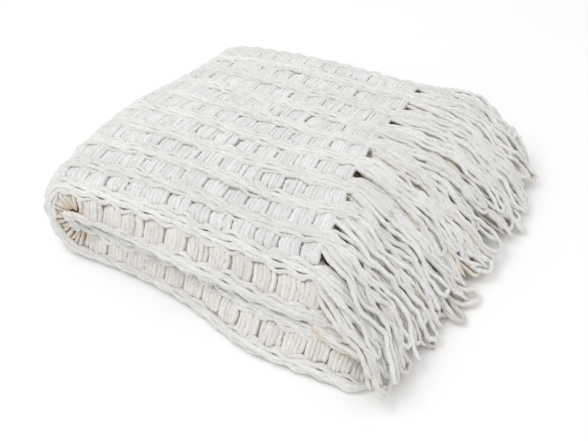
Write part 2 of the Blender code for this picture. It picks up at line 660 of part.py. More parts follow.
def fringe(name, first_row, bunches, side_by_side, layers, thickness):
    skin = Skin()
    edges = [first_row - (0.5 * side_by_side + STRIP_ENDS) * ROOT_PITCH / ROW_PITCH]
    cells = [None]
    for bunch in range(bunches):
        row = first_row + bunch
        for k in range(side_by_side + 1):
            edges.append(row + (k - 0.5 * side_by_side) * ROOT_PITCH / ROW_PITCH)
            cells.append((bunch, k) if k < side_by_side else None)
    edges.append(edges[-1] + STRIP_ENDS * ROOT_PITCH / ROW_PITCH)
    depth = np.linspace(0.0, thickness, layers + 1)
    ring = []
    for row in edges:
        place, inward = strip_place(name, row)
        left = place + np.array([SHEET_GAP, 0.0, 0.0]) + inward * STRIP_DROP
        right = left + np.array([STRIP_DEPTH, 0.0, 0.0])
        ring.append([left + inward * thickness, left] + [right + inward * d for d in depth])
    ids = skin.add(np.array(ring))
    count = ids.shape[1]
    middle = len(edges) - 1
    for i in range(middle):
        skin.face((ids[i, 0], ids[i + 1, 0], ids[i + 1, 1], ids[i, 1]))
        skin.face((ids[i, 1], ids[i + 1, 1], ids[i + 1, 2], ids[i, 2]))
        skin.face((ids[i, count - 1], ids[i + 1, count - 1], ids[i + 1, 0], ids[i, 0]))
        for layer in range(layers):
            cell = (ids[i, 2 + layer], ids[i + 1, 2 + layer], ids[i + 1, 3 + layer], ids[i, 3 + layer])
            if cells[i] is None:
                skin.face(cell)
                continue
            bunch, k = cells[i]
            corners = np.array([ring[i][2 + layer], ring[i + 1][2 + layer], ring[i + 1][3 + layer],
                                ring[i][3 + layer]])
            root = corners.mean(axis=0)
            beside = corners[1] - corners[0]
            beside = beside / np.linalg.norm(beside)
            deep = np.cross(np.array([1.0, 0.0, 0.0]), beside)
            deep = deep / np.linalg.norm(deep)
            if np.dot(deep, corners[3] - corners[0]) < 0:
                deep = -deep
            place = k - 0.5 * (side_by_side - 1)
            seed = bunch * 31.0 + k * 3.7 + layer * 17.3 + thickness * 1000.0
            centre = strand_path(name, root, first_row + bunch, place, layer, seed)
            before = None
            for step in range(STRAND_STEPS + 1):
                width = STRAND_WIDTH + (STRAND_TIP_WIDTH - STRAND_WIDTH) * step / STRAND_STEPS
                low = max(step - 1, 0)
                high = min(step + 1, STRAND_STEPS)
                ahead = centre[high] - centre[low]
                if step == 0:
                    ahead = np.array([1.0, 0.0, 0.0])
                ahead = ahead / np.linalg.norm(ahead)
                blend = step / STRAND_STEPS
                wide = beside * (1.0 - blend) + np.array([0.0, 1.0, 0.0]) * blend
                wide = wide - ahead * np.dot(wide, ahead)
                wide = wide / np.linalg.norm(wide)
                down = np.cross(ahead, wide)
                if np.dot(down, deep * (1.0 - blend) - np.array([0.0, 0.0, 1.0]) * blend) < 0:
                    down = -down
                half = 0.5 * width
                corner = np.array([centre[step] - wide * half - down * half,
                                   centre[step] + wide * half - down * half,
                                   centre[step] + wide * half + down * half,
                                   centre[step] - wide * half + down * half])
                now = skin.add(corner)
                if before is None:
                    for a in range(4):
                        b = (a + 1) % 4
                        skin.face((cell[a], cell[b], now[b], now[a]))
                else:
                    for a in range(4):
                        b = (a + 1) % 4
                        skin.face((before[a], before[b], now[b], now[a]))
                before = now
            skin.face(before)
    skin.face(list(ids[0]))
    skin.face(list(ids[-1])[::-1])
    return skin


def main():
    for thing in list(bpy.data.objects):
        bpy.data.objects.remove(thing)
    skins = [("folded_throw", CLOTH_COLOUR, folded_cloth())]
    skins += [(row[0], FRINGE_COLOUR, fringe(*row)) for row in FRINGES]
    everything = np.concatenate([p for _, _, skin in skins for p in skin.points])
    low = everything.min(axis=0)
    high = everything.max(axis=0)
    shift = np.array([-0.5 * (low[0] + high[0]), -0.5 * (low[1] + high[1]), -low[2]])
    print("shift to the centre of the underside", shift.round(6))
    for name, colour, skin in skins:
        skin.build(name, colour, shift)


main()
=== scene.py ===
"""Dresses the folded chenille throw: its cloth, its rib and chain yarns and its two fringes."""

import math

import bpy
import numpy as np
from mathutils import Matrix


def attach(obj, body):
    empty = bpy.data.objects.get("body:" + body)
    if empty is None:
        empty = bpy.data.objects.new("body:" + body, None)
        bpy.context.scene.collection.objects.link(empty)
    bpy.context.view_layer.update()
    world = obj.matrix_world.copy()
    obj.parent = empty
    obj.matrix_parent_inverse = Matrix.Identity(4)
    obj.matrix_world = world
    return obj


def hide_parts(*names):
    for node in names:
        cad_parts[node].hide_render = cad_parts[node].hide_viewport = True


bl_info = {
    "name": "Folded chenille throw",
    "version": (1, 0, 0),
    "blender": (4, 5, 0),
    "location": "3D View > Sidebar > Throw",
    "description": "Builds the yarns, fringes and stage of a folded chunky throw",
    "category": "Add Mesh",
}

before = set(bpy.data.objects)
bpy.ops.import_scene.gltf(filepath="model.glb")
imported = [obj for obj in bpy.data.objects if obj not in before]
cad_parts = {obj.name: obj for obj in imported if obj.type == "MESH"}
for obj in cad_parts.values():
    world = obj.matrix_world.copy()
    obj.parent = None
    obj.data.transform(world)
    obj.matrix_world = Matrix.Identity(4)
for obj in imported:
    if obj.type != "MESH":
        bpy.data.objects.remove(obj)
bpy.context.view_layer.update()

# From the pile's own frame, whose front edge is near y 0, to the row frame.
SHIFT = np.array((-0.015666, -0.232356, 0.0))

# The weave.
ROW_PITCH = 0.0435
ROWS_ON_TOP = 8
FIRST_ROW_Y = 0.0750
OUTER_THICKNESS = 0.0085
TURN_RADIUS = 0.0480
FOLD_X = 0.2000
CORNER_DRAW = 0.0150
CORNER_FROM_X = 0.1700
BLOCK_ENDS = (0.0, 11.5, 16.5, 31.0)   # rib blocks at stations 0, 1, 2 and 3
LAST_BLOCK = 31
TURN_SINK = 0.0062         # how deep the ground and the ribs lie in the left turn's recess
HOLE_SINK = 0.0022         # how deep the ground lies in the hole at the end of a rib row
HOLE_LENGTH = 0.21         # the usual length of that hole, in blocks
RIB_STEP = 0.181           # from rib to rib, in blocks
RIB_REACH = 0.335          # from a rib's middle to its end, in row pitches
CHAIN_STEP = 0.077         # from yarn to yarn of a chain row, in row pitches
CROSSING = 2.35            # the blocks in which a chain row's yarns cross over and back
DRIFTING = 5.3             # the blocks in which all of them wander across and back
CRIMPING = 1.3             # the blocks of a yarn's own short wave
THICKEST_LUMP = 1.31       # a yarn's thickest lump over its radius

EDGES = (
    # y, fringed edge x, left end x
    (0.030, 0.128, -0.238),
    (0.053, 0.1185, -0.243),
    (0.075, 0.1135, -0.247),
    (0.100, 0.1117, -0.251),
    (0.130, 0.1092, -0.254),
    (0.190, 0.102, -0.254),
    (0.260, 0.097, -0.245),
    (0.340, 0.097, -0.228),
    (0.423, 0.103, -0.218),
    (0.460, 0.106, -0.211),
)
TOP_X = (-0.200, -0.150, -0.085, 0.000, 0.045, 0.105)
TOP_HEIGHT = (
    # y, heights at TOP_X
    (0.075, (0.1080, 0.1100, 0.1140, 0.1070, 0.1020, 0.1020)),
    (0.119, (0.1090, 0.1120, 0.1140, 0.1050, 0.1050, 0.1090)),
    (0.162, (0.1090, 0.1140, 0.1120, 0.1060, 0.1070, 0.1130)),
    (0.249, (0.1080, 0.1110, 0.1095, 0.1070, 0.1090, 0.1130)),
    (0.336, (0.1000, 0.1020, 0.1040, 0.1030, 0.1020, 0.1010)),
    (0.423, (0.0890, 0.0970, 0.1020, 0.1030, 0.1015, 0.1010)),
)
CREASE = (
    # x, height
    (-0.190, 0.060),
    (-0.050, 0.054),
    (0.080, 0.044),
    (0.150, 0.040),
    (0.200, 0.025),
)
BORDER_X = (-0.160, -0.050, 0.080)
FRONT_UPPER = (
    # pitches, depths, shares
    (0.00, (0.0750, 0.0750, 0.0750), (1.000, 1.000, 1.000)),
    (-0.25, (0.0670, 0.0675, 0.0685), (0.957, 0.936, 0.903)),
    (-0.50, (0.0595, 0.0595, 0.0610), (0.854, 0.826, 0.774)),
    (-0.75, (0.0525, 0.0525, 0.0535), (0.687, 0.684, 0.635)),
    (-1.00, (0.0475, 0.0465, 0.0463), (0.485, 0.530, 0.485)),
    (-1.25, (0.0440, 0.0405, 0.0392), (0.300, 0.378, 0.333)),
    (-1.50, (0.0455, 0.0355, 0.0330), (0.165, 0.214, 0.178)),
    (-1.75, (0.0540, 0.0365, 0.0330), (0.105, 0.060, 0.040)),
    (-2.00, (0.0640, 0.0460, 0.0420), (0.085, 0.030, 0.020)),
)
FRONT_LOWER = (
    # pitches, depths, shares
    (0.00, (0.0610, 0.0510, 0.0120), (1.000, 1.000, 1.000)),
    (-0.25, (0.0505, 0.0405, 0.0020), (0.975, 0.975, 0.955)),
    (-0.50, (0.0455, 0.0345, 0.0000), (0.810, 0.820, 0.750)),
    (-0.75, (0.0440, 0.0355, 0.0070), (0.620, 0.620, 0.555)),
    (-1.00, (0.0455, 0.0395, 0.0145), (0.440, 0.430, 0.375)),
    (-1.25, (0.0485, 0.0445, 0.0225), (0.290, 0.250, 0.205)),
    (-1.50, (0.0530, 0.0510, 0.0305), (0.160, 0.100, 0.080)),
    (-1.75, (0.0620, 0.0600, 0.0400), (0.100, 0.045, 0.045)),
    (-2.00, (0.0720, 0.0700, 0.0510), (0.080, 0.035, 0.035)),
)
BACK_UPPER = (
    # pitches past the ninth row, depth, share
    (0.00, 0.4230, 1.000),
    (0.25, 0.4340, 0.960),
    (0.50, 0.4440, 0.870),
    (0.75, 0.4520, 0.725),
    (1.00, 0.4560, 0.545),
    (1.25, 0.4570, 0.355),
    (1.50, 0.4545, 0.180),
    (1.75, 0.4470, 0.065),
    (2.00, 0.4370, 0.055),
)
BACK_LOWER = (
    # pitches past the ninth row, depth, share
    (0.00, 0.4350, 1.000),
    (0.25, 0.4455, 0.985),
    (0.50, 0.4545, 0.880),
    (0.75, 0.4600, 0.710),
    (1.00, 0.4620, 0.520),
    (1.25, 0.4600, 0.330),
    (1.50, 0.4555, 0.160),
    (1.75, 0.4475, 0.065),
    (2.00, 0.4375, 0.055),
)

# The inner layers.
INNER_FRONT_Y = 0.1000
INNER_BACK_Y = 0.4120
INNER_LAYERS = {
    # name: lower face, upper face, right end x
    "sixth": (0.115, 0.232, FOLD_X),
    "first": (0.768, 0.880, 0.118),
    "second": (0.640, 0.756, 0.118),
    "fifth": (0.244, 0.365, 0.157),
    "fourth": (0.377, 0.492, 0.157),
    "third": (0.508, 0.628, 0.140),
}
INNER_ROWS = (2.0, 7.5)    # the rows between which the outer layer goes on as the inner ones
INNER_DENT = 0.0022
INNER_BLOCK = 0.0290
SLUMP = 0.10
SLUMP_FROM_X = 0.0850
SLUMP_LENGTH = 0.1100

# The fringe.
BUNCHES = (
    # bunch row, how far its tips lie towards the back, its length seen from the front
    (-1.5, -0.010, 0.090),
    (-0.5, -0.040, 0.120),
    (0.5, -0.032, 0.142),
    (1.5, -0.021, 0.161),
    (2.5, -0.013, 0.184),
    (3.5, -0.007, 0.186),
    (4.5, -0.002, 0.186),
    (5.5, 0.001, 0.198),
    (6.5, 0.003, 0.203),
    (7.5, 0.002, 0.192),
    (8.5, -0.003, 0.175),
    (9.5, -0.012, 0.098),
)
LOWER_LENGTH = 0.068
HIDDEN_ROOT = 0.014        # the length of a strand inside the cloth
ROOT_SINK = 0.0006
TOP_REACH = 0.0120         # half a bunch's width at its root
LOWER_REACH = 0.0105
FLAT_HEIGHT = 0.004        # the height of the drape where it lies on the floor
SWAY = (0.0042, 0.085)     # a strand's waves: how far each one goes, and its length
CRIMP = (0.0010, 0.021)
RIPPLE = (0.0016, 0.050)
DIP = (0.0022, 0.065)
DRAPE_X = (0.112, 0.140, 0.160, 0.180, 0.195, 0.208, 0.220, 0.232, 0.250, 0.270, 0.290)
DRAPE_LIP = (0.060, 0.056, 0.052, 0.047, 0.041, 0.027, 0.012, 0.004, 0.004, 0.004, 0.004)
DRAPE_CORNER = (0.090, 0.082, 0.069, 0.057, 0.046, 0.031, 0.013, 0.005, 0.004, 0.004, 0.004)
DRAPE_FRONT = (0.096, 0.091, 0.0785, 0.0640, 0.0520, 0.0390, 0.0240, 0.009, 0.004, 0.004, 0.004)
DRAPE_BACK = (0.100, 0.099, 0.0935, 0.0855, 0.0770, 0.0680, 0.0590, 0.049, 0.033, 0.015, 0.004)
DRAPE_LOWER = (0.061, 0.061, 0.0565, 0.0430, 0.0340, 0.0280, 0.0220, 0.016, 0.004, 0.004, 0.004)

# The camera, in the pile's frame.
CAMERA_PLACE = (0.330, -0.464, 0.676)
CAMERA_TURN = (48.0, 0.0, 25.0)
CAMERA_LENS = 47.94


def smooth(t):
    """A soft step from 0 to 1: three t squared less two t cubed."""
    t = np.clip(t, 0.0, 1.0)
    return t * t * (3.0 - 2.0 * t)


def unit(v):
    """v divided by its own length."""
    return v / np.maximum(np.linalg.norm(v, axis=-1, keepdims=True), 1e-12)


def curve_through(places, values, at):
    """A smooth cubic through the table's values, flat beyond its ends."""
    places = np.asarray(places, float)
    values = np.asarray(values, float)
    slopes = np.gradient(values, places)
    slopes[0] = slopes[-1] = 0.0
    at = np.clip(np.asarray(at, float), places[0], places[-1])
    i = np.clip(np.searchsorted(places, at) - 1, 0, len(places) - 2)
    step = places[i + 1] - places[i]
    t = (at - places[i]) / step
    t2 = t * t
    t3 = t2 * t
    return (
        (2 * t3 - 3 * t2 + 1) * values[i]
        + (t3 - 2 * t2 + t) * step * slopes[i]
        + (3 * t2 - 2 * t3) * values[i + 1]
        + (t3 - t2) * step * slopes[i + 1]
    )


def column(table, k):
    """One column of a table."""
    return [line[k] for line in table]


def fringed_edge_x(y):
    """Where the top ends at the fringe, by depth."""
    return curve_through(column(EDGES, 0), column(EDGES, 1), y)


def turn_centre_x(y):
    """The middle of the left turn: the left end plus the turn's radius."""
    return curve_through(column(EDGES, 0), column(EDGES, 2), y) + TURN_RADIUS


def top_height(x, y):
    """The height of the pile's top: the table's columns by depth, blended along the length."""
    x, y = np.broadcast_arrays(np.asarray(x, float), np.asarray(y, float))
    total = np.zeros(x.shape)
    for k in range(len(TOP_X)):
        height = curve_through(column(TOP_HEIGHT, 0), column(column(TOP_HEIGHT, 1), k), y)
        share = np.zeros(len(TOP_X))
        share[k] = 1.0
        total = total + curve_through(TOP_X, share, x) * height
    return total


def crease_height(x, row):
    """The plane between the two halves: the crease's table in front, half the top inside."""
    front = curve_through(column(CREASE, 0), column(CREASE, 1), x)
    inside = smooth((np.asarray(row, float) + 0.5) / 1.5)
    y = FIRST_ROW_Y + np.clip(row, 0.0, ROWS_ON_TOP) * ROW_PITCH
    return front + (0.5 * top_height(x, y) - front) * inside


def border(table, row, x):
    """Depth and share of height from a front table, blended along the length."""
    rows = [-r[0] for r in table]
    depth = 0.0
    share = 0.0
    for k in range(len(BORDER_X)):
        weight = curve_through(BORDER_X, [float(j == k) for j in range(len(BORDER_X))], x)
        depth = depth + weight * curve_through(rows, column(column(table, 1), k), -row)
        share = share + weight * curve_through(rows, column(column(table, 2), k), -row)
    return depth, share


def section(row, x, upper):
    """Depth and share of height of the outer layer at a place across the cloth: the tables at
    the front and back borders, and a straight run of rows between them."""
    row, x = np.broadcast_arrays(np.asarray(row, float), np.asarray(x, float))
    front_depth, front_share = border(FRONT_UPPER if upper else FRONT_LOWER, np.minimum(row, 0.0), x)
    back = BACK_UPPER if upper else BACK_LOWER
    past = np.maximum(row - ROWS_ON_TOP, 0.0)
    back_depth = curve_through(column(back, 0), column(back, 1), past)
    back_share = curve_through(column(back, 0), column(back, 2), past)
    if not upper:
        drawn = CORNER_DRAW * smooth((x - CORNER_FROM_X) / (FOLD_X - CORNER_FROM_X)) ** 2
        front_depth = front_depth + drawn
        back_depth = back_depth - drawn
    across = np.clip(row / ROWS_ON_TOP, 0.0, 1.0)
    depth = front_depth + (back_depth - front_depth) * across
    depth = np.where(row < 0.0, front_depth, np.where(row > ROWS_ON_TOP, back_depth, depth))
    return depth, np.where(row < 0.0, front_share, back_share)


def outer_point(station, row):
    """A place on the outer face. Station 0 to 1 runs over the top, 1 to 2 is half a circle
    round the left turn, and 2 to 3 runs back under the pile. Row counts row pitches."""
    station, row = np.broadcast_arrays(np.asarray(station, float), np.asarray(row, float))
    angle = np.clip(station - 1.0, 0.0, 1.0) * math.pi
    near_y = FIRST_ROW_Y + np.clip(row, -1.0, ROWS_ON_TOP + 0.8) * ROW_PITCH
    centre = turn_centre_x(near_y)
    over = np.clip(station, -0.1, 1.0)
    under = np.clip(station - 2.0, 0.0, 1.0)
    x = np.where(station < 1.5,
                 fringed_edge_x(near_y) + (centre - fringed_edge_x(near_y)) * over,
                 centre + (FOLD_X - centre) * under)
    upper_y, upper_share = section(row, x, True)
    lower_y, lower_share = section(row, x, False)
    turn = 0.5 - 0.5 * np.cos(angle)
    y = upper_y + (lower_y - upper_y) * turn
    share = upper_share + (lower_share - upper_share) * turn
    middle = crease_height(x, row)
    reach = np.where(angle <= math.pi / 2, top_height(x, near_y) - middle, middle)
    z = middle + share * reach * np.cos(angle)
    x = x - share * TURN_RADIUS * np.sin(angle)
    past = np.clip(station - 3.0, 0.0, 1.0) * math.pi
    fold_middle = 0.5 * crease_height(FOLD_X, row)
    fold_reach = np.maximum(fold_middle - z, 0.0)
    x = np.where(past > 0.0, x + fold_reach * np.sin(past), x)
    z = np.where(past > 0.0, fold_middle - (fold_middle - z) * np.cos(past), z)
    return np.stack([x, y, z], axis=-1)


def outer_normal(station, row):
    """The outward direction: the cross product of two short steps over the outer face."""
    small = 1e-3
    along = outer_point(station + small, row) - outer_point(station - small, row)
    across = outer_point(station, row + small * 4) - outer_point(station, row - small * 4)
    return unit(np.cross(across, along))


def station_of(block):
    """The station at a count of rib blocks from the fringed edge."""
    block = np.asarray(block, float)
    beyond = np.maximum(block - BLOCK_ENDS[-1], 0.0) * 0.5
    before = np.minimum(block, 0.0) / BLOCK_ENDS[1]
    return np.interp(block, BLOCK_ENDS, (0.0, 1.0, 2.0, 3.0)) + beyond + before


def weave_height(block, row):
    """0 on a chain row, about -1 in the notch between two rib blocks, a little below 0 on a block."""
    in_row = row - np.floor(row + 0.5)
    chain = smooth((np.abs(in_row) - 0.25) / 0.25)
    notch = np.abs(block - np.floor(block) - 0.5) * 2.0
    return -(1.0 - chain) * (0.25 + 0.75 * smooth((notch - 0.7) / 0.3))


def hole_share(row):
    """From -1 to 1, how far the hole at a rib row's end is from the usual one: a sine of the row."""
    return np.sin(2.3 * row + 0.8)


def stray(block, row):
    """How far the weave wanders off its row, in row pitches: two slow sines of the block."""
    return 0.032 * np.sin(0.86 * block + 1.9 * row) + 0.020 * np.sin(2.1 * block + 0.7 * row + 1.0)


def in_turn(station, row):
    """1 inside the left turn's front and back recess, 0 elsewhere."""
    round_it = smooth((station - 0.90) / 0.12) * smooth((2.10 - station) / 0.12)
    inward = smooth((-row - 0.65) / 0.5) + smooth((row - ROWS_ON_TOP - 0.65) / 0.5)
    return round_it * inward


def inner_place(x, y, share):
    """A place inside the pile at a share of its height, sunk a little at the right."""
    slump = SLUMP * smooth((x - SLUMP_FROM_X) / SLUMP_LENGTH)
    return np.stack([x, y, share * top_height(x, y) * (1.0 - slump)], axis=-1)


def fold_pair(y, values):
    """The right fold of the bottom layer: half circles about the middle of its faces."""
    angle = (-math.pi / 2 + math.pi * values)[:, None]
    low, high, _ = INNER_LAYERS["sixth"]
    y = np.broadcast_to(y, (len(values), len(y)))
    fold = np.full_like(y, FOLD_X)
    top = inner_place(fold, y, high)[..., 2]
    hollow = inner_place(fold, y, low)[..., 2]
    outer = np.stack([FOLD_X + 0.5 * top * np.cos(angle), y, 0.5 * top * (1.0 + np.sin(angle))], axis=-1)
    middle = 0.5 * (hollow + OUTER_THICKNESS)
    reach = 0.5 * (hollow - OUTER_THICKNESS)
    inner = np.stack([FOLD_X + reach * np.cos(angle), y, middle + reach * np.sin(angle)], axis=-1)
    return outer, inner


def run_pair(y, name, along, leftward):
    """A straight run of an inner layer, from the left turn's middle to its right end."""
    low, high, end = INNER_LAYERS[name]
    centre = turn_centre_x(y)
    x = centre + (end - centre) * along[:, None]
    y = np.broadcast_to(y, x.shape)
    lower = inner_place(x, y, low)
    upper = inner_place(x, y, high)
    return (upper, lower) if leftward else (lower, upper)


def turn_pair(y, first, last, t):
    """A left turn inside the pile: half circles whose radius blends between the two layers."""
    angle = math.pi * t[:, None]
    centre = turn_centre_x(y)
    middle = 0.5 * top_height(centre, y)
    start = INNER_LAYERS[first]
    stop = INNER_LAYERS[last]
    up = stop[0] > start[0]
    blend = 0.5 - 0.5 * np.cos(angle)

    def ring(from_share, to_share):
        share = abs(from_share - 0.5) * (1.0 - blend) + abs(to_share - 0.5) * blend
        turn = math.pi - angle if up else angle
        x = centre - 2.0 * share * TURN_RADIUS * np.sin(angle)
        z = middle * (1.0 + 2.0 * share * np.cos(turn))
        return np.stack([x, np.broadcast_to(y, x.shape), z], axis=-1)

    return ring(start[1], stop[0]), ring(start[0], stop[1])


def bend_pair(y, first, last, t):
    """A right fold between two inner layers: half circles about the gap between them."""
    angle = math.pi * t[:, None]
    start = INNER_LAYERS[first]
    stop = INNER_LAYERS[last]
    sign = 1.0 if stop[0] > start[0] else -1.0
    x = np.full_like(y, start[2])

    def bend(low_share, high_share):
        low = inner_place(x, y, low_share)[..., 2]
        high = inner_place(x, y, high_share)[..., 2]
        reach = 0.5 * (high - low)
        place = x + reach * np.sin(angle)
        return np.stack([place, np.broadcast_to(y, place.shape),
                         0.5 * (high + low) - sign * reach * np.cos(angle)], axis=-1)

    outside = bend(min(start[0], stop[0]), max(start[1], stop[1]))
    inside = bend(min(start[1], stop[1]), max(start[0], stop[0]))
    return outside, inside


def grid_faces(ids, flip=False):
    """Four-sided faces over a grid of point numbers."""
    faces = np.stack([ids[:-1, :-1], ids[1:, :-1], ids[1:, 1:], ids[:-1, 1:]], axis=-1).reshape(-1, 4)
    return faces if flip else faces[:, ::-1]


def strip_faces(one, other, flip=False):
    """Four-sided faces between two equally long lines of point numbers."""
    faces = np.stack([one[:-1], one[1:], other[1:], other[:-1]], axis=-1)
    return faces if flip else faces[:, ::-1]


def make_piece(name, points, faces, depth, tone, slot_name, material):
    """One object from arrays: its points in the row frame, its faces, and for each point its
    depth, the painted shade of how deep in the weave it lies (0 the shade colour, 1 the yarn's), and its
    yarn's own tone."""
    mesh = bpy.data.meshes.new(name)
    mesh.from_pydata((points + SHIFT).tolist(), [], faces)
    mesh.polygons.foreach_set("use_smooth", np.ones(len(mesh.polygons), dtype=bool))
    for label, values in (("depth", depth), ("tone", tone)):
        layer = mesh.attributes.new(label, "FLOAT", "POINT")
        layer.data.foreach_set("value", np.ascontiguousarray(values, dtype=np.float32).ravel())
    mesh.update()
    mesh.materials.append(material)
    piece = bpy.data.objects.new(name, mesh)
    bpy.context.scene.collection.objects.link(piece)
    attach(piece, "root")
    return piece


def tubes(paths, ups, radii, sides, chance, lumps):
    """Many yarns at once. Each point is the path's point plus the radius times the cosine of
    the angle along the up direction and the sine along the direction square to it and the
    path. Each point's radius strays by the share lumps, as chenille's pile does. Returns the
    points and the faces, with an end face on each yarn."""
    ahead = unit(np.gradient(paths, axis=1))
    ups = unit(ups - ahead * np.sum(ups * ahead, axis=-1, keepdims=True))
    beside = np.cross(ahead, ups)
    angle = 2.0 * math.pi * np.arange(sides) / sides
    circle = (np.cos(angle)[:, None] * ups[:, :, None, :] + np.sin(angle)[:, None] * beside[:, :, None, :])
    strays = 1.0 + lumps * np.clip(chance.normal(0.0, 1.0, circle.shape[:3]), -1.8, 1.8)
    points = paths[:, :, None, :] + (radii[:, :, None] * strays)[..., None] * circle
    ids = np.arange(points.size // 3).reshape(points.shape[:-1])
    after = np.roll(ids, -1, axis=2)
    around = np.stack([ids[:, :-1], after[:, :-1], after[:, 1:], ids[:, 1:]], axis=-1).reshape(-1, 4)
    ends = np.concatenate([ids[:, 0, ::-1], ids[:, -1]])
    return points.reshape(-1, 3), around.tolist() + ends.tolist()


def above_floor(path, size):
    """The path, raised wherever a yarn of that radius would reach below the floor."""
    path[..., 2] = np.maximum(path[..., 2], THICKEST_LUMP * size)
    return path


def rounded(count):
    """A radius factor along a yarn: full but for its two rounded ends."""
    factor = np.ones(count)
    factor[[0, -1]] = 0.15
    factor[[1, -2]] = 0.80
    return factor


def flank_shade(sides):
    """0 on the side of a yarn that faces out, 1 on the side that faces in: the share of shade painted on a
    yarn's inward flank.
    """
    return 0.5 - 0.5 * np.cos(2.0 * math.pi * np.arange(sides) / sides)


def pile_group():
    """The shared look of chenille pile, read from Object coordinates: a fine fuzz, a coarser
    crumb along the yarn and a slow drift of tone. Its share blends painted shade, the recess's
    colour, into the yarn's, and the sum of tone, drift and crumb makes that a little darker or lighter."""
    group = bpy.data.node_groups.new("chenille_pile", "ShaderNodeTree")
    face = group.interface
    for name, kind, value in (
        ("Yarn", "NodeSocketColor", (0.8, 0.78, 0.74, 1.0)),
        ("Recess shade", "NodeSocketColor", (0.5, 0.4, 0.3, 1.0)),
        ("Depth", "NodeSocketFloat", 1.0),
        ("Tone", "NodeSocketFloat", 0.5),
        ("Fuzz scale", "NodeSocketFloat", 900.0),
    ):
        made = face.new_socket(name=name, in_out="INPUT", socket_type=kind)
        made.default_value = value
    face.new_socket(name="Colour", in_out="OUTPUT", socket_type="NodeSocketColor")
    face.new_socket(name="Pile height", in_out="OUTPUT", socket_type="NodeSocketFloat")
    nodes = group.nodes
    link = group.links.new
    inside = nodes.new("NodeGroupInput")
    outside = nodes.new("NodeGroupOutput")
    place = nodes.new("ShaderNodeTexCoord")
    fuzz = nodes.new("ShaderNodeTexNoise")
    fuzz.inputs["Detail"].default_value = 3.0
    fuzz.inputs["Roughness"].default_value = 0.65
    crumb = nodes.new("ShaderNodeTexNoise")
    crumb.inputs["Scale"].default_value = 430.0
    crumb.inputs["Detail"].default_value = 3.0
    crumb.inputs["Roughness"].default_value = 0.7
    drift = nodes.new("ShaderNodeTexNoise")
    drift.inputs["Scale"].default_value = 22.0
    for noise in (fuzz, crumb, drift):
        link(place.outputs["Object"], noise.inputs["Vector"])
    link(inside.outputs["Fuzz scale"], fuzz.inputs["Scale"])

    def added(one, other):
        node = nodes.new("ShaderNodeMath")
        node.operation = "ADD"
        link(one, node.inputs[0])
        link(other, node.inputs[1])
        return node.outputs[0]

    link(added(fuzz.outputs["Fac"], crumb.outputs["Fac"]), outside.inputs["Pile height"])

    # Painted shade: the recess's shade colour mixed into the yarn's by the point's share.
    lit = nodes.new("ShaderNodeMix")
    lit.data_type = "RGBA"
    link(inside.outputs["Depth"], lit.inputs["Factor"])
    link(inside.outputs["Recess shade"], lit.inputs["A"])
    link(inside.outputs["Yarn"], lit.inputs["B"])
    grain = nodes.new("ShaderNodeMath")
    grain.operation = "MULTIPLY_ADD"
    grain.inputs[1].default_value = 3.0
    grain.inputs[2].default_value = -1.0
    link(crumb.outputs["Fac"], grain.inputs[0])
    toned_by = added(added(inside.outputs["Tone"], drift.outputs["Fac"]), grain.outputs[0])
    spread = nodes.new("ShaderNodeMapRange")
    spread.inputs["From Min"].default_value = 1.0
    spread.inputs["From Max"].default_value = 2.0
    spread.inputs["To Min"].default_value = 0.87
    spread.inputs["To Max"].default_value = 1.05
    spread.clamp = False
    link(toned_by, spread.inputs["Value"])
    toned = nodes.new("ShaderNodeVectorMath")
    toned.operation = "SCALE"
    link(lit.outputs["Result"], toned.inputs[0])
    link(spread.outputs["Result"], toned.inputs["Scale"])
    link(toned.outputs["Vector"], outside.inputs["Colour"])
    return group


def chenille(name, group, yarn, recess, bump, sheen):
    """Off-white chenille: matt, a soft sheen, and the pile group's colour and height."""
    material = bpy.data.materials.new(name)
    material.use_nodes = True
    nodes = material.node_tree.nodes
    link = material.node_tree.links.new
    shader = nodes["Principled BSDF"]
    shader.inputs["Roughness"].default_value = 0.95
    shader.inputs["Specular IOR Level"].default_value = 0.15
    shader.inputs["Sheen Weight"].default_value = sheen
    shader.inputs["Sheen Roughness"].default_value = 0.6
    pile = nodes.new("ShaderNodeGroup")
    pile.node_tree = group
    pile.inputs["Yarn"].default_value = (*yarn, 1.0)
    pile.inputs["Recess shade"].default_value = (*recess, 1.0)
    for label, name_in in (("depth", "Depth"), ("tone", "Tone")):
        read = nodes.new("ShaderNodeAttribute")
        read.attribute_name = label
        link(read.outputs["Fac"], pile.inputs[name_in])
    raised = nodes.new("ShaderNodeBump")
    raised.inputs["Strength"].default_value = bump
    raised.inputs["Distance"].default_value = 0.0018
    link(pile.outputs["Pile height"], raised.inputs["Height"])
    link(raised.outputs["Normal"], shader.inputs["Normal"])
    link(pile.outputs["Colour"], shader.inputs["Base Color"])
    return material


def finish_of(name):
    """The chenille material of that name, made when it is first asked for."""
    found = bpy.data.materials.get(name)
    if found is not None:
        return found
    looks = bpy.context.scene.throw_looks
    group = bpy.data.node_groups.get("chenille_pile") or pile_group()
    # Painted shade: the cloth's deep ground takes the dark recess colour, the yarns the warm shade colour.
    deep, sheen = (looks.recess, 0.05) if name == "chenille_cloth" else (looks.shade, 0.25)
    return chenille(name, group, looks.yarn, deep, looks.bump, sheen)


